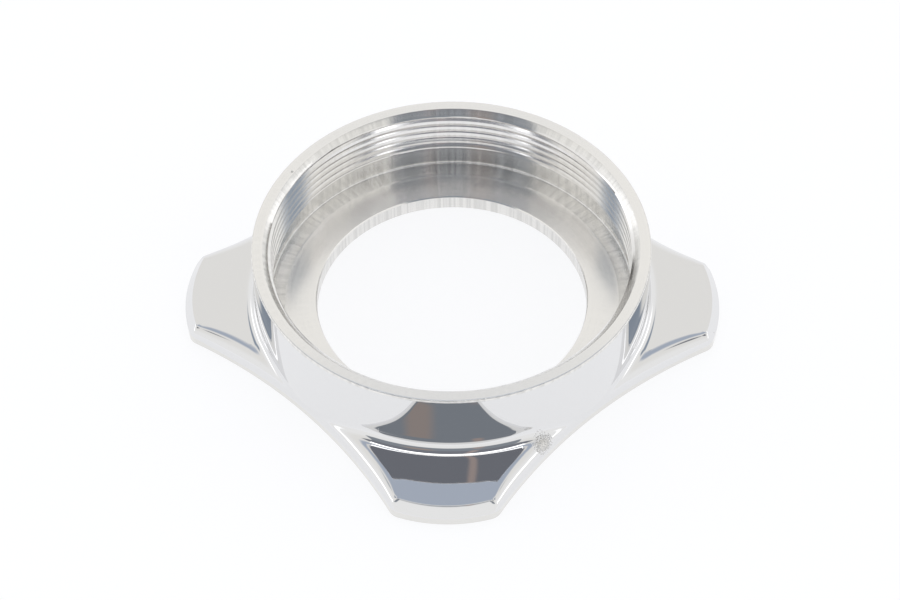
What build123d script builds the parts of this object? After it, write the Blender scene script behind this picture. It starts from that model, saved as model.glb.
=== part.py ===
from build123d import *
import math
import os

os.makedirs("parts", exist_ok=True)

# Collar: the round wall that carries the thread
collar_diameter = 106.0
collar_height = 26.1
rim_edge_break = 0.3

# Bore, cut at the crest of the thread
thread_crest_diameter = 95.9
entry_mouth_diameter = 100.0
entry_chamfer_depth = 2.05

# Run-out groove below the thread
groove_diameter = 99.2
groove_top_height = 10.9
groove_corner_break = 0.6

# Seat that clamps a flat plate, and the hole through it
seat_height = 4.7
seat_outer_diameter = 90.4
seat_step = 0.3
hole_diameter = 73.2
hole_edge_break = 0.3

# Wings, four alike
wing_count = 4
wing_reach = 72.45
wing_tip_radius = 38.65
wing_corner_radius = 4.0
wing_hollow_radius = 141.0
hollow_stand_proud = 0.3
wing_tip_thickness = 5.5
wing_top_slope = 3.0
wing_edge_round = 3.6
wing_root_fillet = 3.2

collar_radius = collar_diameter / 2
bore_radius = thread_crest_diameter / 2
mouth_radius = entry_mouth_diameter / 2
groove_radius = groove_diameter / 2
hole_radius = hole_diameter / 2
seat_radius = seat_outer_diameter / 2
ledge_height = seat_height + seat_step
groove_bottom_corner = groove_radius - groove_corner_break
groove_shoulder = groove_radius - bore_radius
hollow_reach = collar_radius + hollow_stand_proud
half_spacing = 180 / wing_count


def polar(radius, degrees):
    angle = math.radians(degrees)
    return Vector(radius * math.cos(angle), radius * math.sin(angle))


def turned(point, degrees):
    angle = math.radians(degrees)
    turned_x = point.X * math.cos(angle) - point.Y * math.sin(angle)
    turned_y = point.X * math.sin(angle) + point.Y * math.cos(angle)
    return Vector(turned_x, turned_y)


def mirrored(point):
    return Vector(point.X, -point.Y)


def wing_joints():
    # Where the tip, corner and hollow arcs of a wing on +X touch each other
    tip_centre = Vector(wing_reach - wing_tip_radius, 0)
    hollow_centre = polar(hollow_reach + wing_hollow_radius, half_spacing)
    near = wing_tip_radius - wing_corner_radius
    far = wing_hollow_radius + wing_corner_radius
    line = hollow_centre - tip_centre
    along = (near**2 - far**2 + line.length**2) / (2 * line.length)
    across = math.sqrt(near**2 - along**2)
    unit = line.normalized()
    corner_centre = tip_centre + unit * along + Vector(unit.Y, -unit.X) * across
    outward = (corner_centre - tip_centre).normalized()
    inward = (hollow_centre - corner_centre).normalized()
    tip_end = tip_centre + outward * wing_tip_radius
    hollow_end = corner_centre + inward * wing_corner_radius
    corner_middle = corner_centre + (outward + inward).normalized() * wing_corner_radius
    return tip_end, corner_middle, hollow_end


def wing_outline():
    # Closed outline of tangent arcs, the same four arcs for every wing
    tip_end, corner_middle, hollow_end = wing_joints()
    spacing = 2 * half_spacing
    next_hollow_end = turned(mirrored(hollow_end), spacing)
    next_corner_middle = turned(mirrored(corner_middle), spacing)
    next_tip_start = turned(mirrored(tip_end), spacing)
    arcs = [
        (mirrored(tip_end), Vector(wing_reach, 0), tip_end),
        (tip_end, corner_middle, hollow_end),
        (hollow_end, polar(hollow_reach, half_spacing), next_hollow_end),
        (next_hollow_end, next_corner_middle, next_tip_start),
    ]
    edges = []
    for index in range(wing_count):
        for arc in arcs:
            edges.append(ThreePointArc(*[turned(point, index * spacing) for point in arc]))
    return make_face(Wire(edges))


def wing_plate():
    # Flat below, falling gently outward above, rounded along the whole upper edge
    slope = math.tan(math.radians(wing_top_slope))
    middle_height = wing_tip_thickness + wing_reach * slope
    clear_radius = 1.1 * wing_reach
    corners = [
        (0, 0),
        (clear_radius, 0),
        (clear_radius, middle_height - clear_radius * slope),
        (0, middle_height),
    ]
    with BuildPart() as cone:
        with BuildSketch(Plane.XZ):
            with BuildLine():
                Polyline(*corners, close=True)
            make_face()
        revolve(axis=Axis.Z)
    plate = cone.part & extrude(wing_outline(), amount=2 * middle_height)
    upper = [edge for edge in plate.edges() if edge.bounding_box().min.Z > wing_tip_thickness / 2]
    return fillet(upper, radius=wing_edge_round)


def collar_blank():
    blank = Cylinder(collar_radius, collar_height, align=(Align.CENTER, Align.CENTER, Align.MIN))
    rim = blank.edges().group_by(Axis.Z)[-1]
    return chamfer(rim, length=rim_edge_break)


def outer_body():
    # Collar and wings in one, with the fillet where the wing tops meet the wall
    body = collar_blank() + wing_plate()
    highest_wing = wing_tip_thickness + wing_reach * math.tan(math.radians(wing_top_slope))
    root = []
    for edge in body.edges():
        box = edge.bounding_box()
        start = edge.start_point()
        on_wall = math.isclose(math.hypot(start.X, start.Y), collar_radius, abs_tol=1e-4)
        if on_wall and box.min.Z > 0.5 and box.max.Z < highest_wing:
            root.append(edge)
    return fillet(root, radius=wing_root_fillet)


def bore_tool():
    # Turned profile of everything cut from the middle, from the base to the mouth
    above = collar_height + 1
    with BuildPart() as tool:
        with BuildSketch(Plane.XZ):
            with BuildLine():
                Polyline(
                    (0, -1),
                    (hole_radius + hole_edge_break, -1),
                    (hole_radius + hole_edge_break, 0),
                    (hole_radius, hole_edge_break),
                    (hole_radius, seat_height - hole_edge_break),
                    (hole_radius + hole_edge_break, seat_height),
                    (seat_radius, seat_height),
                    (seat_radius, ledge_height),
                    (groove_bottom_corner, ledge_height),
                    (groove_radius, ledge_height + groove_corner_break),
                    (groove_radius, groove_top_height),
                    (bore_radius, groove_top_height + groove_shoulder),
                    (bore_radius, collar_height - entry_chamfer_depth),
                    (mouth_radius, collar_height),
                    (mouth_radius, above),
                    (0, above),
                    close=True,
                )
            make_face()
        revolve(axis=Axis.Z)
    return tool.part


ring_nut = outer_body() - bore_tool()
export_step(ring_nut, "parts/ring_nut.step")
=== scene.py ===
import bpy
import math
import numpy as np
from mathutils import Matrix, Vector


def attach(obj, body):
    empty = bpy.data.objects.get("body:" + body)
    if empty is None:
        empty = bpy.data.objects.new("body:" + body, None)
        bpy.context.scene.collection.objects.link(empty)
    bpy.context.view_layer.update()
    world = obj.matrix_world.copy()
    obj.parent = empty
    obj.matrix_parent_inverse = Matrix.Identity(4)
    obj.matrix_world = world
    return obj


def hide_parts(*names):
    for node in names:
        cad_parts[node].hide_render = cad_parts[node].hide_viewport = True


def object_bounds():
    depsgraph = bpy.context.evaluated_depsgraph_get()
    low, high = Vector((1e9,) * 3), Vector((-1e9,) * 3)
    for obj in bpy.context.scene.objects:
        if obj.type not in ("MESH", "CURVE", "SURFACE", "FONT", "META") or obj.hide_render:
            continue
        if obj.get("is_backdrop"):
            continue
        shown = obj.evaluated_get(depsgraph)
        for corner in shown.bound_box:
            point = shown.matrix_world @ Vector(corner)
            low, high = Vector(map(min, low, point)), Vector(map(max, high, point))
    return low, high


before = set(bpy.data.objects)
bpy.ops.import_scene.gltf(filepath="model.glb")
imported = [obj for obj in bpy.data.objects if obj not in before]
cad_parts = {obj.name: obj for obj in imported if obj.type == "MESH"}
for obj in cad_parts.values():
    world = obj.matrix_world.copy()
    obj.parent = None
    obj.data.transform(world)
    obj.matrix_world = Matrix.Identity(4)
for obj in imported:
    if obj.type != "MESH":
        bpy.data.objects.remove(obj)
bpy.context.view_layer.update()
print("frame loaded")

mm = 0.001

# Sizes of the ring nut in millimetres, the same as the CAD's where the CAD has them.
nut = {
    "collarRadius": 53.0,
    "collarHeight": 26.1,
    "rimBreak": 0.3,
    "mouthRadius": 50.0,
    "mouthDepth": 2.05,
    "mouthBreak": (0.05, 0.07),
    "crestRadius": 47.95,
    "rootRadius": 48.65,
    "pitch": 2.309,
    "crestFlat": 1.0,
    "flankAngle": 30.0,
    "ridgeStart": 8.49,
    "threadLow": 10.9,
    "threadHigh": 24.8,
    "firstTurn": -1,
    "turnCount": 9,
    "grooveRadius": 49.6,
    "grooveCorner": 0.6,
    "seatHeight": 4.7,
    "seatRadius": 45.2,
    "seatStep": 0.3,
    "holeRadius": 36.6,
    "edgeBreak": 0.3,
    "baseBreak": 0.25,
    "wingCount": 4,
    "wingReach": 72.45,
    "tipRadius": 38.65,
    "cornerRadius": 4.0,
    "hollowRadius": 141.0,
    "hollowReach": 53.3,
    "tipThickness": 5.5,
    "topSlope": 3.0,
    "crownFrom": 65.0,
    "crown": 0.012,
    "edgeRound": 2.6,
    "flankRound": 4.4,
    "flankColumns": 22,
    "bevelTilt": 52.0,
    "rootFillet": 3.2,
    "tipColumns": 7,
    "cornerColumns": 14,
    "hollowColumns": 44,
    # Where the mesh has its rows: heights, radii and distances in millimetres, then shares of a stretch.
    "besideEdge": 0.3,
    "besideStep": 0.4,
    "besideWall": 0.5,
    "holeRows": (0.8, 2.4),
    "seatRows": (39.5, 42.3),
    "ledgeRow": 47.0,
    "grooveRow": 8.0,
    "mouthRow": 25.4,
    "rimRows": (50.4, 51.5),
    "wallShares": (0.03, 0.25, 0.5, 0.75, 0.97),
    "topShares": (0.06, 0.35, 0.65, 0.94),
    "edgeShares": (0, 0.1, 0.17, 0.24, 0.4, 0.6, 0.8, 0.93, 1.0),
    "sideShares": (0.1, 0.5, 0.92),
    "baseShares": (0, 0.04, 0.25, 0.5, 0.75, 0.96),
    "breakRows": 5,
    "filletRows": 10,
    # Rows at which the finish changes, counted from the start or the end of their block.
    "seatFaceRows": (5, 11),
    "rimFaceRows": (3, 7),
    "wallRow": 12,
    "sideFromEnd": 11,
    "baseFromEnd": 7,
    "sharpAngle": 31.0,
}

# Finish of each zone: colour, roughness, spacing of the turned lines and bump height in metres,
# anisotropy, and how strong the bars are. The order is the order of the material slots.
finishes = {
    "polished": {
        "colour": (0.84, 0.84, 0.845, 1), "rough": 0.07, "lines": None,
        "bump": 0.0001, "anisotropic": 0.0, "bars": 0.0,
    },
    "turned": {
        "colour": (0.87, 0.86, 0.84, 1), "rough": 0.19, "lines": 0.00035,
        "bump": 0.000003, "anisotropic": 0.9, "bars": 0.5,
    },
    "threaded": {
        "colour": (0.88, 0.87, 0.86, 1), "rough": 0.12, "lines": 0.0002,
        "bump": 0.000002, "anisotropic": 0.0, "bars": 0.25,
    },
    "base": {
        "colour": (0.78, 0.775, 0.76, 1), "rough": 0.25, "lines": 0.0006,
        "bump": 0.000006, "anisotropic": 0.7, "bars": 0.0,
    },
    "rimFace": {
        "colour": (0.915, 0.905, 0.89, 1), "rough": 0.17, "lines": 0.0003,
        "bump": 0.000002, "anisotropic": 0.9, "bars": 0.05,
    },
    "sideFace": {
        "colour": (0.84, 0.83, 0.805, 1), "rough": 0.16, "lines": None,
        "bump": 0.00003, "anisotropic": 0.0, "bars": 0.0,
    },
}
zoneNumber = {name: number for number, name in enumerate(finishes)}


def direction(angle):
    return np.stack([np.cos(angle), np.sin(angle)], -1)


def unit(vectors):
    return vectors / np.linalg.norm(vectors, axis=-1, keepdims=True)


def between(start, end, share):
    # Unit vectors turned evenly from start to end.
    angle = np.arccos(np.clip((start * end).sum(-1), -1, 1))[..., None]
    small = np.maximum(np.sin(angle), 1e-9)
    return (np.sin((1 - share) * angle) * start + np.sin(share * angle) * end) / small


def wingTop(radius):
    # Height of the wings' upper face: the tip's thickness plus the slope times the distance from the reach,
    # less the crown times the square of the distance past the crown's start.
    fall = math.tan(math.radians(nut["topSlope"]))
    even = nut["tipThickness"] + (nut["wingReach"] - radius) * fall
    return even - nut["crown"] * np.maximum(radius - nut["crownFrom"], 0) ** 2


def halfWing():
    # Half a wing's outline, from its middle to the hollow's middle, with outward normals.
    # Three arcs, each touching the next: tip, corner, hollow.
    halfAngle = math.pi / nut["wingCount"]
    tip = np.array([nut["wingReach"] - nut["tipRadius"], 0.0])
    hollow = direction(halfAngle) * (nut["hollowReach"] + nut["hollowRadius"])
    near = nut["tipRadius"] - nut["cornerRadius"]
    far = nut["hollowRadius"] + nut["cornerRadius"]
    span = np.hypot(*(hollow - tip))
    along = (near**2 - far**2 + span**2) / (2 * span)
    towards = (hollow - tip) / span
    sideways = np.array([towards[1], -towards[0]])
    corner = tip + towards * along + sideways * math.sqrt(near**2 - along**2)
    outward = math.atan2(*(corner - tip)[::-1])
    inward = math.atan2(*(hollow - corner)[::-1])
    tipAngles = np.linspace(0, outward, nut["tipColumns"] + 1)[:-1]
    cornerAngles = np.linspace(outward, inward, nut["cornerColumns"] + 1)[:-1]
    hollowAngles = np.linspace(inward, halfAngle, nut["hollowColumns"] + 1)
    points = np.concatenate([
        tip + nut["tipRadius"] * direction(tipAngles),
        corner + nut["cornerRadius"] * direction(cornerAngles),
        hollow - nut["hollowRadius"] * direction(hollowAngles),
    ])
    normals = direction(np.concatenate([tipAngles, cornerAngles, hollowAngles]))
    return points, normals


def halfBlend(points, normals):
    # Two balls roll along the wing: one inside its upper edge, one in the corner at the collar wall.
    # Where they would overlap, the corner's ball rests on the edge's, so the ledge dies out smoothly.
    slope = math.radians(nut["topSlope"])
    fillet = nut["rootFillet"]
    track = nut["collarRadius"] + fillet
    # The upper edge is tighter at the tip than along the flanks, and widens from the corner's middle.
    index = np.arange(len(points))
    flankStart = nut["tipColumns"] + nut["cornerColumns"]
    share = np.clip((index - flankStart + nut["cornerColumns"] / 2) / nut["flankColumns"], 0, 1)
    rounding = nut["edgeRound"] + (nut["flankRound"] - nut["edgeRound"]) * share**2 * (3 - 2 * share)
    centre = points - rounding[:, None] * normals
    centreHeight = wingTop(np.linalg.norm(centre, axis=1)) - rounding / math.cos(slope)
    facing = (points * normals).sum(1)
    reach = -facing + np.sqrt(np.maximum(facing**2 - (points**2).sum(1) + track**2, 0))
    apart = reach + rounding
    rise = np.sqrt(np.maximum((rounding + fillet) ** 2 - apart**2, 0))
    freeHeight = wingTop(track) + fillet / math.cos(slope)
    resting = (apart > (rounding + fillet) * math.sin(slope)) & (index > flankStart)
    ball = points + reach[:, None] * normals
    angle = np.arctan2(ball[:, 1], ball[:, 0])
    first = index[resting][0]
    angle = np.where(resting, angle, angle[first] * index / first)
    ballHeight = np.where(resting, centreHeight + rise, freeHeight)
    # The bevel over the tip fades out over the corner.
    bevel = np.clip((flankStart - index) / nut["cornerColumns"], 0, 1)
    bevel = bevel**2 * (3 - 2 * bevel)
    return centre, {
        "angle": angle, "centreHeight": centreHeight, "ballHeight": ballHeight,
        "resting": resting, "bevel": bevel, "rounding": rounding,
    }


def spin(vectors, angle):
    cosine, sine = math.cos(angle), math.sin(angle)
    x, y = vectors[:, 0], vectors[:, 1]
    return np.stack([x * cosine - y * sine, x * sine + y * cosine], 1)


def fullCircle():
    # Every column of the nut, from four mirrored half wings: outline point, normal, edge ball's centre,
    # angle round the axis and the balls' other values.
    points, normals = halfWing()
    centre, values = halfBlend(points, normals)
    flip = np.array([1.0, -1.0])
    spacing = 2 * math.pi / nut["wingCount"]
    angle = values.pop("angle")
    columns = {name: [] for name in ("point", "normal", "centre", "angle", *values)}
    for wing in range(nut["wingCount"]):
        for name, flat in (("point", points), ("normal", normals), ("centre", centre)):
            columns[name].append(spin(flat[:-1], wing * spacing))
            columns[name].append(spin((flat * flip)[:0:-1], (wing + 1) * spacing))
        for name, flat in values.items():
            columns[name].extend([flat[:-1], flat[:0:-1]])
        columns["angle"].extend([angle[:-1] + wing * spacing, (wing + 1) * spacing - angle[:0:-1]])
    return {name: np.concatenate(parts) for name, parts in columns.items()}


def boreRadius(height, angle):
    # The widest of three cuts: the groove, the helical thread and the mouth chamfer.
    # Thread: crest radius plus the distance past the crest's flat divided by the flank angle's tangent,
    # no deeper than the root.
    pitch = nut["pitch"]
    groove = nut["grooveRadius"] - np.maximum(height - nut["threadLow"], 0)
    mouthSlope = (nut["mouthRadius"] - nut["crestRadius"]) / nut["mouthDepth"]
    mouth = nut["mouthRadius"] - (nut["collarHeight"] - height) * mouthSlope
    turn = (height - nut["ridgeStart"] - pitch * angle / (2 * math.pi)) / pitch
    fromCrest = np.abs(turn - np.round(turn)) * pitch - nut["crestFlat"] / 2
    flankSlope = math.tan(math.radians(nut["flankAngle"]))
    depth = np.clip(fromCrest / flankSlope, 0, nut["rootRadius"] - nut["crestRadius"])
    return np.maximum(np.maximum(groove, mouth), nut["crestRadius"] + depth)


def ring(radius, height, angle):
    # One closed row at a radius and a height.
    radius = np.broadcast_to(radius, angle.shape)
    height = np.broadcast_to(height, angle.shape)
    return np.stack([radius * np.cos(angle), radius * np.sin(angle), height], 1)


def innerRows(angle):
    # Hole, seat, step, corner of the groove and groove wall, from the base upward.
    hole, seat, low = nut["holeRadius"], nut["seatRadius"], nut["seatHeight"]
    edge, groove, corner = nut["edgeBreak"], nut["grooveRadius"], nut["grooveCorner"]
    ledge, beside = low + nut["seatStep"], nut["besideEdge"]
    path = [(hole + edge, 0.0), (hole, edge)]
    path += [(hole, height) for height in nut["holeRows"]]
    path += [(hole, low - edge - beside), (hole, low - edge)]
    path += [(hole + edge, low), (hole + edge + nut["besideWall"], low)]
    path += [(radius, low) for radius in nut["seatRows"]]
    path += [(seat - nut["besideWall"], low), (seat, low)]
    path += [(seat, ledge), (seat + nut["besideStep"], ledge), (nut["ledgeRow"], ledge)]
    path += [(groove - corner - beside, ledge)]
    for bend in np.linspace(0, math.pi / 2, nut["breakRows"]):
        path.append((groove - corner + corner * math.sin(bend), ledge + corner - corner * math.cos(bend)))
    path += [(groove, ledge + corner + beside), (groove, nut["grooveRow"]), (groove, nut["threadLow"])]
    return [ring(radius, height, angle) for radius, height in path]


def outerRows(columns):
    # From the thread's last turn: mouth, rim, wall, root fillet, wing top, edge round, side and base.
    angle = columns["angle"]
    top, wall, edge = nut["collarHeight"], nut["collarRadius"], nut["rimBreak"]
    mouth, (aside, down) = nut["mouthRadius"], nut["mouthBreak"]
    rows = [ring(boreRadius(height, 0.0), height, angle) for height in (nut["threadHigh"], nut["mouthRow"])]
    rows += [ring(mouth - aside, top - down, angle), ring(mouth + aside, top, angle)]
    rows += [ring(radius, top, angle) for radius in (*nut["rimRows"], wall - edge - nut["besideEdge"])]
    for bend in np.linspace(0, math.pi / 2, nut["breakRows"]):
        rows.append(ring(wall - edge + edge * math.sin(bend), top - edge + edge * math.cos(bend), angle))
    ballHeight = columns["ballHeight"]
    for share in nut["wallShares"]:
        rows.append(ring(wall, (top - edge) * (1 - share) + ballHeight * share, angle))
    slope = math.radians(nut["topSlope"])
    fillet, rounding = nut["rootFillet"], columns["rounding"]
    resting = columns["resting"][:, None]
    radial = direction(angle)
    ball = np.column_stack([radial * (wall + fillet), ballHeight])
    middle = np.column_stack([columns["centre"], columns["centreHeight"]])
    flatOut = np.column_stack([columns["normal"], np.zeros(len(angle))])
    centreOut = unit(columns["centre"])
    upRound = np.column_stack([math.sin(slope) * centreOut, np.full(len(angle), math.cos(slope))])
    upBall = np.column_stack([math.sin(slope) * radial, np.full(len(angle), math.cos(slope))])
    contact = unit(ball - middle)
    roundEnd = np.where(resting, contact, upRound)
    filletEnd = -np.where(resting, contact, upBall)
    wallSide = np.column_stack([-radial, np.zeros(len(angle))])
    for share in np.linspace(0, 1, nut["filletRows"]):
        rows.append(ball + fillet * between(wallSide, filletEnd, share))
    outer = middle + rounding[:, None] * roundEnd
    rows[-1] = np.where(resting, outer, rows[-1])
    inner = rows[-1]
    for share in nut["topShares"]:
        row = inner + (outer - inner) * share
        row[:, 2] = wingTop(np.hypot(row[:, 0], row[:, 1]))
        rows.append(np.where(resting, outer, row))
    # The upper edge: the edge ball's surface along the flanks. Over the tip the distance from its centre is
    # the smaller of those to the upper face and to a steep plane, which leaves one crease.
    tilt = math.radians(nut["bevelTilt"])
    reachOut = rounding * math.sin(tilt)
    firstStep = nut["edgeShares"][1]
    for share in nut["edgeShares"]:
        towards = between(roundEnd, flatOut, share)
        lean = np.arctan2(np.hypot(towards[:, 0], towards[:, 1]), towards[:, 2])
        cut = np.minimum(rounding / np.maximum(np.cos(lean), 0.2), reachOut / np.cos(lean - tilt))
        size = rounding + (cut - rounding) * columns["bevel"] * min(1, share / firstStep)
        rows.append(middle + size[:, None] * towards)
    rows[-len(nut["edgeShares"])] = outer
    low = nut["baseBreak"]
    for share in (*nut["sideShares"], 1):
        rows.append(np.column_stack([columns["point"], columns["centreHeight"] * (1 - share) + low * share]))
    inset = columns["point"] - low * columns["normal"]
    hole = radial * (nut["holeRadius"] + nut["edgeBreak"])
    for share in nut["baseShares"]:
        rows.append(np.column_stack([inset + (hole - inset) * share, np.zeros(len(angle))]))
    return rows


def threadRows(angle):
    # Rows that climb with the helix, one pitch a turn, and stop at the thread's two ends.
    pitch, flat = nut["pitch"], nut["crestFlat"] / 2
    flank = (nut["rootRadius"] - nut["crestRadius"]) * math.tan(math.radians(nut["flankAngle"]))
    thirds = [flat + flank * step / 3 for step in (1, 2, 3)]
    rise = [-flat, 0, flat, *thirds, pitch / 2, *(pitch - step for step in reversed(thirds))]
    turns = nut["firstTurn"] + np.arange(nut["turnCount"])
    heights = (nut["ridgeStart"] + turns[:, None] * pitch + np.array(rise)[None, :]).ravel()
    grid = heights[:, None] + pitch * angle[None, :] / (2 * math.pi)
    grid = np.clip(grid, nut["threadLow"], nut["threadHigh"])
    return [ring(boreRadius(row, angle), row, angle) for row in grid], len(rise)


def gridFaces(start, rows, count, shift):
    # Quads between neighbouring rows; the seam joins the last column to the first, shift rows higher.
    row = np.arange(rows - 1)[:, None]
    column = np.arange(count)[None, :]
    step = np.where(column == count - 1, shift, 0)
    nextColumn = (column + 1) % count
    faces = np.stack([
        start + row * count + column,
        start + (row + step) * count + nextColumn,
        start + (row + 1 + step) * count + nextColumn,
        start + (row + 1) * count + column,
    ], -1)
    keep = np.broadcast_to(row + 1 + step < rows, faces.shape[:2])
    return faces[keep], np.broadcast_to(row, faces.shape[:2])[keep]


def makeNut():
    columns = fullCircle()
    angle = columns["angle"]
    count = len(angle)
    below, above = innerRows(angle), outerRows(columns)
    thread, turnRows = threadRows(angle)
    # The base joins back to the hole's lower edge, so the last block ends with the first row again.
    above.append(below[0])
    sideRow, baseRow = len(above) - nut["sideFromEnd"], len(above) - nut["baseFromEnd"]
    # Each block: its rows, the helix's shift at the seam, and its finishes. Where none is named it is turned.
    blocks = [
        (below, 0, [("rimFace", *nut["seatFaceRows"])]),
        (thread, turnRows, [("threaded", 0, len(thread))]),
        (above, 0, [
            ("rimFace", *nut["rimFaceRows"]),
            ("polished", nut["wallRow"], sideRow),
            ("sideFace", sideRow, baseRow),
            ("base", baseRow, len(above)),
        ]),
    ]
    vertices, faces, zones, start = [], [], [], 0
    for rows, shift, spans in blocks:
        quads, rowOf = gridFaces(start, len(rows), count, shift)
        zone = np.full(len(quads), zoneNumber["turned"])
        for name, first, last in spans:
            zone[(rowOf >= first) & (rowOf < last)] = zoneNumber[name]
        vertices.extend(rows)
        faces.append(quads)
        zones.append(zone)
        start += len(rows) * count
    vertices = np.concatenate(vertices) * mm
    faces, zones = np.concatenate(faces), np.concatenate(zones)
    _, firstUse, same = np.unique(np.round(vertices, 8), axis=0, return_index=True, return_inverse=True)
    vertices = vertices[firstUse]
    faces = same.reshape(-1)[faces]
    # The signed volume tells which way the faces point.
    first, second, third, fourth = (vertices[faces[:, corner]] for corner in range(4))
    volume = ((np.cross(second, third) + np.cross(third, fourth)) * first).sum() / 6
    if volume < 0:
        faces = faces[:, ::-1]
    print("nut volume", abs(volume) / mm**3, "columns", count)
    return vertices, faces, zones


def facesFromQuads(faces, zones):
    # Quads whose corners have merged become triangles, and flat slivers go.
    repeat = faces == np.roll(faces, -1, axis=1)
    merged = repeat.sum(1)
    across = (faces[:, 0] == faces[:, 2]) | (faces[:, 1] == faces[:, 3])
    quads = faces[(merged == 0) & ~across]
    triangleRows = (merged == 1) & ~across
    triangles = faces[triangleRows][~repeat[triangleRows]].reshape(-1, 3)
    zone = np.concatenate([zones[(merged == 0) & ~across], zones[triangleRows]])
    return quads.tolist() + triangles.tolist(), zone


vertices, quads, zones = makeNut()
polygons, zones = facesFromQuads(quads, zones)
mesh = bpy.data.meshes.new("ringNut")
mesh.from_pydata(vertices.tolist(), [], polygons)
mesh.polygons.foreach_set("material_index", zones.astype(np.int32))
mesh.shade_smooth()
mesh.set_sharp_from_angle(angle=math.radians(nut["sharpAngle"]))
mesh.update()
ringNut = bpy.data.objects.new("ringNut", mesh)
bpy.context.scene.collection.objects.link(ringNut)
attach(ringNut, "root")
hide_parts("ring_nut")
print("nut made", len(mesh.polygons), "faces")


def node(tree, kind, **settings):
    made = tree.nodes.new(kind)
    for name, value in settings.items():
        setattr(made, name, value)
    return made


def join(tree, source, target):
    tree.links.new(source, target)


def feed(tree, value, socket):
    # A socket takes a link from another node or a plain value.
    if isinstance(value, bpy.types.NodeSocket):
        join(tree, value, socket)
    else:
        socket.default_value = value


def maths(tree, operation, first, second=None):
    made = node(tree, "ShaderNodeMath", operation=operation)
    feed(tree, first, made.inputs[0])
    if second is not None:
        feed(tree, second, made.inputs[1])
    return made.outputs[0]


def ramp(tree, value, low, high, outLow=0.0, outHigh=1.0):
    made = node(tree, "ShaderNodeMapRange", interpolation_type="SMOOTHSTEP")
    values = {"Value": value, "From Min": low, "From Max": high, "To Min": outLow, "To Max": outHigh}
    for name, number in values.items():
        feed(tree, number, made.inputs[name])
    return made.outputs[0]


def mixColour(tree, share, first, second):
    made = node(tree, "ShaderNodeMix", data_type="RGBA")
    for slot, value in ((0, share), (6, first), (7, second)):
        feed(tree, value, made.inputs[slot])
    return made.outputs[2]


def noise(tree, vector, scale, detail):
    made = node(tree, "ShaderNodeTexNoise")
    for name, value in (("Vector", vector), ("Scale", scale), ("Detail", detail)):
        feed(tree, value, made.inputs[name])
    return made.outputs[0]


def combine(tree, *parts):
    made = node(tree, "ShaderNodeCombineXYZ")
    for slot, value in enumerate(parts):
        join(tree, value, made.inputs[slot])
    return made.outputs[0]


def objectPlace(tree):
    return node(tree, "ShaderNodeTexCoord").outputs["Object"]


def newGroup(name, inputs, outputs):
    group = bpy.data.node_groups.new(name, "ShaderNodeTree")
    for label, kind, value in inputs:
        socket = group.interface.new_socket(name=label, in_out="INPUT", socket_type=kind)
        socket.default_value = value
    for label in outputs:
        group.interface.new_socket(name=label, in_out="OUTPUT", socket_type="NodeSocketFloat")
    return group, node(group, "NodeGroupInput").outputs, node(group, "NodeGroupOutput").inputs


# Patterns on the steel. Scales are per unit of their own coordinates, spot sizes in metres.
pattern = {
    "heightShare": 1.37,
    "fineScale": 1.0, "fineDetail": 3.0,
    "broadScale": 0.21, "broadDetail": 2.0,
    "barScale": 34.0, "barDetail": 4.0,
    "waveDetail": 1.5,
    "hairStretch": (900, 1400, 120), "hairTurn": (0.3, 0.2, 0.9), "hairDetail": 3.0, "hairHeight": 0.03,
    "spotGrain": 2500.0, "spotDetail": 2.0, "spotSolid": 0.55,
}


def turnedLines():
    # Fine rings left by the lathe: noise that changes fast with radius and height, slowly round the axis.
    group, given, result = newGroup(
        "turnedLines", [("Spacing", "NodeSocketFloat", 0.0003)], ["Height", "Streak", "Bars"],
    )
    split = node(group, "ShaderNodeSeparateXYZ")
    join(group, objectPlace(group), split.inputs[0])
    x, y, z = split.outputs
    squares = maths(group, "ADD", maths(group, "MULTIPLY", x, x), maths(group, "MULTIPLY", y, y))
    radius = maths(group, "SQRT", squares)
    upward = maths(group, "MULTIPLY", z, pattern["heightShare"])
    across = maths(group, "DIVIDE", maths(group, "ADD", radius, upward), given["Spacing"])
    east = maths(group, "DIVIDE", x, radius)
    north = maths(group, "DIVIDE", y, radius)
    place = combine(group, across, east, north)
    join(group, noise(group, place, pattern["fineScale"], pattern["fineDetail"]), result["Height"])
    join(group, noise(group, place, pattern["broadScale"], pattern["broadDetail"]), result["Streak"])
    # Bars change only with the direction from the axis: faint strips of light and dark down the walls.
    around = combine(group, east, north)
    join(group, noise(group, around, pattern["barScale"], pattern["barDetail"]), result["Bars"])
    return group


def handPolish():
    # Slow waves left by the polishing wheel, and hairlines along one direction.
    group, given, result = newGroup(
        "handPolish",
        [("Wave size", "NodeSocketFloat", 0.02), ("Hairlines", "NodeSocketFloat", 0.2)],
        ["Height", "Haze"],
    )
    where = objectPlace(group)
    wave = noise(group, where, maths(group, "DIVIDE", 1.0, given["Wave size"]), pattern["waveDetail"])
    stretch = node(group, "ShaderNodeMapping")
    stretch.inputs["Scale"].default_value = pattern["hairStretch"]
    stretch.inputs["Rotation"].default_value = pattern["hairTurn"]
    join(group, where, stretch.inputs["Vector"])
    hair = noise(group, stretch.outputs[0], 1.0, pattern["hairDetail"])
    lines = maths(group, "MULTIPLY", hair, given["Hairlines"])
    hairHeight = maths(group, "MULTIPLY", lines, pattern["hairHeight"])
    join(group, maths(group, "ADD", wave, hairHeight), result["Height"])
    join(group, lines, result["Haze"])
    return group


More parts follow.
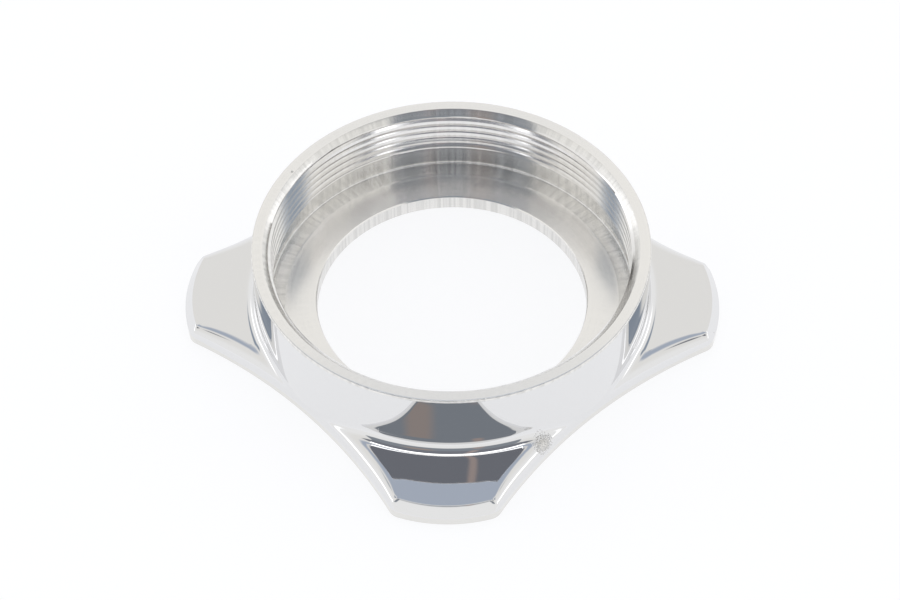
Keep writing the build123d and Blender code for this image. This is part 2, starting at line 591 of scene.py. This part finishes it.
def blemish():
    # A ragged spot: one inside the radius round its centre, broken up by noise.
    group, given, result = newGroup(
        "blemish",
        [
            ("Centre", "NodeSocketVector", (0, 0, 0)),
            ("Radius", "NodeSocketFloat", 0.001),
            ("Ragged", "NodeSocketFloat", 1.6),
        ],
        ["Mask"],
    )
    where = objectPlace(group)
    away = node(group, "ShaderNodeVectorMath", operation="DISTANCE")
    join(group, where, away.inputs[0])
    join(group, given["Centre"], away.inputs[1])
    share = maths(group, "DIVIDE", away.outputs["Value"], given["Radius"])
    grain = noise(group, where, pattern["spotGrain"], pattern["spotDetail"])
    ragged = maths(group, "MULTIPLY", maths(group, "SUBTRACT", grain, 0.5), given["Ragged"])
    join(group, ramp(group, maths(group, "ADD", share, ragged), 1.0, pattern["spotSolid"]), result["Mask"])
    return group


lineGroup, polishGroup, spotGroup = turnedLines(), handPolish(), blemish()

# Wear kept on the nut: centre and radius in metres.
spots = {
    "castMark": ((0.0258, -0.0508, 0.0064), 0.0034),
    "rimPit": ((-0.0439, 0.0253, 0.0261), 0.0005),
    "tipNick": ((0.0712, -0.0105, 0.0036), 0.0007),
}

# How the patterns act on the steel, the same for all finishes.
effects = {
    "brushTurn": 0.25,
    "turnedSpread": 0.2,
    "polishedSpread": 0.5,
    "shadeFrom": 0.25, "shadeTo": 0.75, "shadeDark": 0.94,
    "barFrom": 0.36, "barTo": 0.62, "barDark": 0.3,
    "spotColour": (0.66, 0.65, 0.63, 1), "spotRough": 0.3, "spotDepth": 1.5,
}


def darker(colour, share):
    return tuple(part * share for part in colour[:3]) + (1,)


def steel(name, look):
    material = bpy.data.materials.new(name)
    material.use_nodes = True
    tree = material.node_tree
    shader = tree.nodes["Principled BSDF"]
    shader.inputs["Metallic"].default_value = 1.0
    shader.inputs["Anisotropic"].default_value = look["anisotropic"]
    shader.inputs["Anisotropic Rotation"].default_value = effects["brushTurn"]
    spotTotal = None
    for centre, radius in spots.values():
        spot = node(tree, "ShaderNodeGroup", node_tree=spotGroup)
        spot.inputs["Centre"].default_value = centre
        spot.inputs["Radius"].default_value = radius
        spotTotal = spot.outputs[0] if spotTotal is None else maths(tree, "MAXIMUM", spotTotal, spot.outputs[0])
    if look["lines"]:
        detail = node(tree, "ShaderNodeGroup", node_tree=lineGroup)
        detail.inputs["Spacing"].default_value = look["lines"]
        shade, height = detail.outputs["Streak"], detail.outputs["Height"]
        tangent = node(tree, "ShaderNodeTangent", direction_type="RADIAL", axis="Z")
        join(tree, tangent.outputs[0], shader.inputs["Tangent"])
        spread = effects["turnedSpread"]
    else:
        detail = node(tree, "ShaderNodeGroup", node_tree=polishGroup)
        shade, height = detail.outputs["Haze"], detail.outputs["Height"]
        spread = effects["polishedSpread"]
    colour = look["colour"]
    shadeShare = ramp(tree, shade, effects["shadeFrom"], effects["shadeTo"])
    tone = mixColour(tree, shadeShare, darker(colour, effects["shadeDark"]), colour)
    if look["bars"]:
        barColour = darker(colour, 1 - effects["barDark"] * look["bars"])
        barShare = ramp(tree, detail.outputs["Bars"], effects["barFrom"], effects["barTo"])
        tone = mixColour(tree, barShare, barColour, tone)
    join(tree, mixColour(tree, spotTotal, tone, effects["spotColour"]), shader.inputs["Base Color"])
    rough = ramp(tree, shade, 0.0, 1.0, look["rough"] * (1 - spread), look["rough"] * (1 + spread))
    spotRough = maths(tree, "MULTIPLY", spotTotal, effects["spotRough"])
    join(tree, maths(tree, "ADD", rough, spotRough), shader.inputs["Roughness"])
    bump = node(tree, "ShaderNodeBump")
    bump.inputs["Distance"].default_value = look["bump"]
    spotDepth = maths(tree, "MULTIPLY", spotTotal, effects["spotDepth"])
    join(tree, maths(tree, "SUBTRACT", height, spotDepth), bump.inputs["Height"])
    join(tree, bump.outputs[0], shader.inputs["Normal"])
    return material


for name, look in finishes.items():
    mesh.materials.append(steel(name, look))
print("materials made")

# Stage: a white table that runs past the view. Its glow shows only to the camera and in reflections.
table = {
    "reach": 6.0,
    "paper": (0.96, 0.96, 0.965, 1),
    "glow": (1.09, 1.095, 1.11, 1),
    "glowShare": 0.75,
}
floorMesh = bpy.data.meshes.new("floor")
reach = table["reach"]
corners = [(-reach, -reach, 0), (reach, -reach, 0), (reach, reach, 0), (-reach, reach, 0)]
floorMesh.from_pydata(corners, [], [(0, 1, 2, 3)])
floor = bpy.data.objects.new("floor", floorMesh)
bpy.context.scene.collection.objects.link(floor)
floor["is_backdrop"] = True
paper = bpy.data.materials.new("paper")
paper.use_nodes = True
tree = paper.node_tree
shader = tree.nodes["Principled BSDF"]
shader.inputs["Base Color"].default_value = table["paper"]
shader.inputs["Roughness"].default_value = 1.0
shader.inputs["Specular IOR Level"].default_value = 0.0
glow = node(tree, "ShaderNodeEmission")
glow.inputs["Color"].default_value = table["glow"]
rays = node(tree, "ShaderNodeLightPath").outputs
seen = maths(tree, "MAXIMUM", rays["Is Camera Ray"], rays["Is Glossy Ray"])
both = node(tree, "ShaderNodeMixShader")
join(tree, maths(tree, "MULTIPLY", seen, table["glowShare"]), both.inputs[0])
join(tree, shader.outputs[0], both.inputs[1])
join(tree, glow.outputs[0], both.inputs[2])
join(tree, both.outputs[0], tree.nodes["Material Output"].inputs["Surface"])
floorMesh.materials.append(paper)

# Surroundings: a white room, grey-blue above the back, dark behind the camera with a tan and a brown strip,
# dark patches obliquely behind, and bright low strips at both sides.
room = {
    "white": (0.9, 0.89, 0.865, 1),
    "lowWhite": (0.97, 0.97, 0.965, 1),
    "sideLight": (1.7, 1.7, 1.72, 1),
    "backGrey": (0.44, 0.49, 0.58, 1),
    "frontDark": (0.21, 0.22, 0.25, 1),
    "frontLower": (0.26, 0.285, 0.32, 1),
    "sideDark": (0.30, 0.35, 0.42, 1),
    "tan": (0.42, 0.35, 0.33, 1),
    "brown": (0.36, 0.31, 0.29, 1),
    # Fades in degrees above the horizon: none at the first, full at the second.
    "lowFade": (48, 22),
    "upperFade": (51, 55),
    # Bands in degrees: from, to, half the width of the soft edge. Up is above the horizon,
    # Round is from the camera's side, or from the back for backRound.
    "frontUp": (27, 79, 3), "frontRound": (-50, 38, 2), "frontWideRound": (-80, 80, 6),
    "tanRound": (11.5, 17, 2),
    "brownUp": (40, 53, 1.5), "brownRound": (-25, -10, 4),
    "backUp": (56.5, 80, 4), "backRound": (-75, 75, 15),
    "darkUp": (38, 49, 3), "darkRound": (108, 140, 4),
    "lightUp": (9, 18, 2), "lightRound": (76, 124, 6),
}


def fade(tree, value, limits):
    return ramp(tree, value, *(math.radians(limit) for limit in limits))


def band(tree, value, limits):
    low, high, soft = limits
    rise = fade(tree, value, (low - soft, low + soft))
    fall = fade(tree, value, (high + soft, high - soft))
    return maths(tree, "MULTIPLY", rise, fall)


world = bpy.data.worlds.new("room")
bpy.context.scene.world = world
world.use_nodes = True
tree = world.node_tree
background = tree.nodes["Background"]
split = node(tree, "ShaderNodeSeparateXYZ")
join(tree, node(tree, "ShaderNodeTexCoord").outputs["Generated"], split.inputs[0])
x, y, z = split.outputs
elevation = maths(tree, "ARCSINE", z)
fromFront = maths(tree, "ARCTAN2", x, maths(tree, "MULTIPLY", y, -1.0))
fromBack = maths(tree, "ARCTAN2", x, y)
eitherSide = maths(tree, "ABSOLUTE", fromFront)
low = fade(tree, elevation, room["lowFade"])
upper = fade(tree, elevation, room["upperFade"])
middle = band(tree, elevation, room["brownUp"])
wide = maths(tree, "MULTIPLY", upper, band(tree, fromFront, room["frontWideRound"]))
frontShape = maths(tree, "MAXIMUM", band(tree, fromFront, room["frontRound"]), wide)
front = maths(tree, "MULTIPLY", band(tree, elevation, room["frontUp"]), frontShape)
strip = maths(tree, "MULTIPLY", front, band(tree, fromFront, room["tanRound"]))
strip = maths(tree, "MULTIPLY", strip, maths(tree, "SUBTRACT", 1.0, middle))
brown = maths(tree, "MULTIPLY", front, band(tree, fromFront, room["brownRound"]))
brown = maths(tree, "MULTIPLY", brown, middle)
back = maths(tree, "MULTIPLY", band(tree, elevation, room["backUp"]), band(tree, fromBack, room["backRound"]))
sides = maths(tree, "MULTIPLY", band(tree, elevation, room["darkUp"]), band(tree, eitherSide, room["darkRound"]))
lights = maths(tree, "MULTIPLY", band(tree, elevation, room["lightUp"]), band(tree, eitherSide, room["lightRound"]))
layers = [
    (low, room["lowWhite"]),
    (lights, room["sideLight"]),
    (back, room["backGrey"]),
    (front, mixColour(tree, upper, room["frontLower"], room["frontDark"])),
    (sides, room["sideDark"]),
    (strip, room["tan"]),
    (brown, room["brown"]),
]
colour = room["white"]
for share, over in layers:
    colour = mixColour(tree, share, colour, over)
seen = node(tree, "ShaderNodeLightPath").outputs["Is Camera Ray"]
join(tree, mixColour(tree, seen, colour, (1, 1, 1, 1)), background.inputs["Color"])

# Softbox above, a little towards the camera: sizes and place in metres, power in watts, tilt in degrees.
boxLight = {"length": 1.3, "width": 0.24, "power": 1.7, "place": (0.0, -0.18, 1.6), "tilt": -6}
lamp = bpy.data.lights.new("softbox", "AREA")
lamp.shape = "RECTANGLE"
lamp.size = boxLight["length"]
lamp.size_y = boxLight["width"]
lamp.energy = boxLight["power"]
softbox = bpy.data.objects.new("softbox", lamp)
softbox.location = boxLight["place"]
softbox.rotation_euler = (math.radians(boxLight["tilt"]), 0, 0)
bpy.context.scene.collection.objects.link(softbox)

# Camera: a long lens half a metre up and in front, turned a little from the wings' axes.
shot = {
    "lens": 103.4, "sensor": 36.0, "shiftX": -0.0023, "shiftY": 0.0082,
    "elevation": 49.88, "distance": 0.7045, "turn": 2.143, "roll": -0.82,
}
lens = bpy.data.cameras.new("camera")
lens.lens = shot["lens"]
lens.sensor_width = shot["sensor"]
lens.shift_x = shot["shiftX"]
lens.shift_y = shot["shiftY"]
camera = bpy.data.objects.new("camera", lens)
tilt = math.radians(shot["elevation"])
away = Matrix.Translation((0, -shot["distance"] * math.cos(tilt), shot["distance"] * math.sin(tilt)))
turn = Matrix.Rotation(math.radians(shot["turn"]), 4, "Z")
look = Matrix.Rotation(math.pi / 2 - tilt, 4, "X")
roll = Matrix.Rotation(math.radians(shot["roll"]), 4, "Z")
camera.matrix_world = turn @ away @ look @ roll
bpy.context.scene.collection.objects.link(camera)
bpy.context.scene.camera = camera
bpy.context.scene.view_settings.view_transform = "Standard"
print("stage, light and camera set")

low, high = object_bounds()
